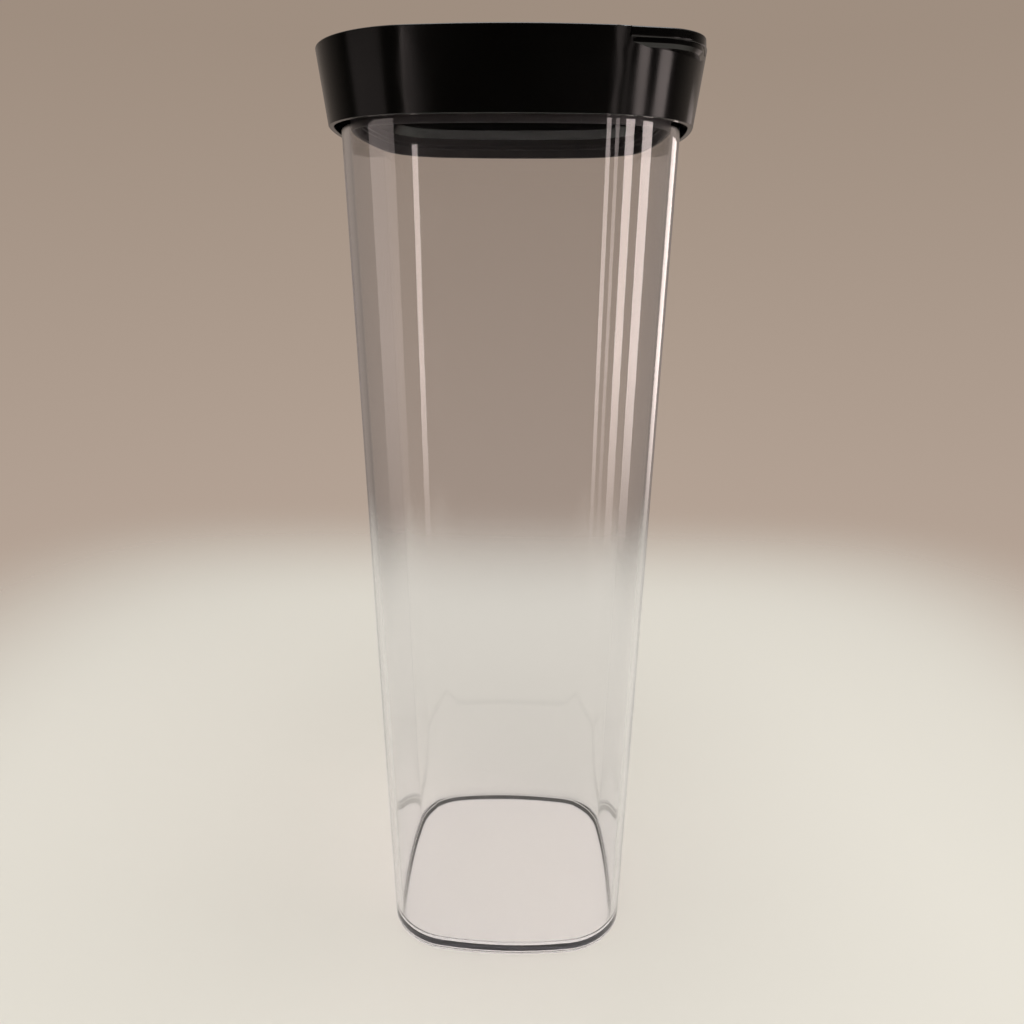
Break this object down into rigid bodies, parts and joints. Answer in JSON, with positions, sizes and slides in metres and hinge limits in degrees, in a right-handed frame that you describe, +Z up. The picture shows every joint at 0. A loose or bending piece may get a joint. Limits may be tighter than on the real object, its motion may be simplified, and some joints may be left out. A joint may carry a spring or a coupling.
{
  "type": "lidded storage jar",
  "caption": "Tall clear rounded-square storage jar with a black lift-off lid, a lip seal and a hinged pour flap with a thumb lip at one corner.",
  "frame": {"origin": "centre of the jar's foot, on the surface it stands on", "axes": "+Z up along the jar's axis, front towards -Y, pour flap at the +X -Y corner"},
  "size_m": [0.1166, 0.1166, 0.314],
  "materials": {
    "clear_plastic": "clear, polished",
    "black_plastic": "satin gloss",
    "seal_rubber": "matte"
  },
  "bodies": {
    "jar": {"jar_body": "clear_plastic"},
    "lid": {"lid_frame": "black_plastic", "lid_seal": "seal_rubber"},
    "flap": {"pour_flap": "black_plastic"}
  },
  "joints": [
    {"name": "lid_lift", "type": "slide", "parent": "jar", "child": "lid", "axis": [0, 0, 1], "range_m": [0, 0.06]},
    {"name": "flap_hinge", "type": "hinge", "parent": "lid", "child": "flap", "pos_m": [0.01414, -0.01414, 0.3124], "axis": [-0.7071, -0.7071, 0], "range_deg": [0, 95]}
  ]
}
